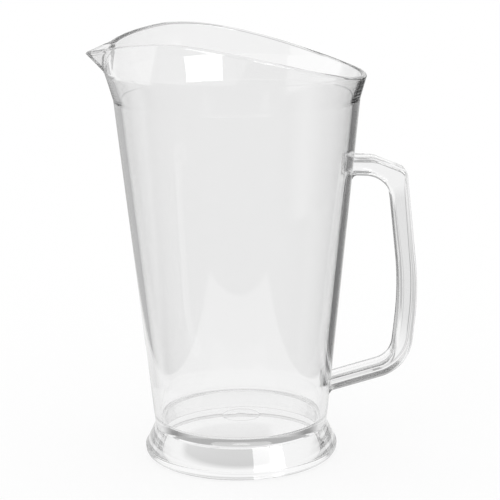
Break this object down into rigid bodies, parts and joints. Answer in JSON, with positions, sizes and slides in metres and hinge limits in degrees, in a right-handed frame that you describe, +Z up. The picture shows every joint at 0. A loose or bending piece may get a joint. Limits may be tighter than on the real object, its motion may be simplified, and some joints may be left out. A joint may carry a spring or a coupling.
{
  "type": "beer pitcher",
  "caption": "Tall tapered pitcher in clear plastic with a hollow flared foot, a wavy pouring rim drawn out to a pinched V spout, and a bar handle opposite it.",
  "frame": {"origin": "centre of the foot's base ring, on the axis of the vessel, at table height", "axes": "+Z up along the axis of the vessel, +X towards the handle, -X towards the spout"},
  "size_m": [0.1784, 0.1412, 0.2344],
  "materials": {
    "clear_plastic": "clear, polished"
  },
  "bodies": {
    "root": {"vessel": "clear_plastic", "pouring_rim": "clear_plastic", "foot": "clear_plastic", "handle": "clear_plastic"}
  },
  "joints": []
}
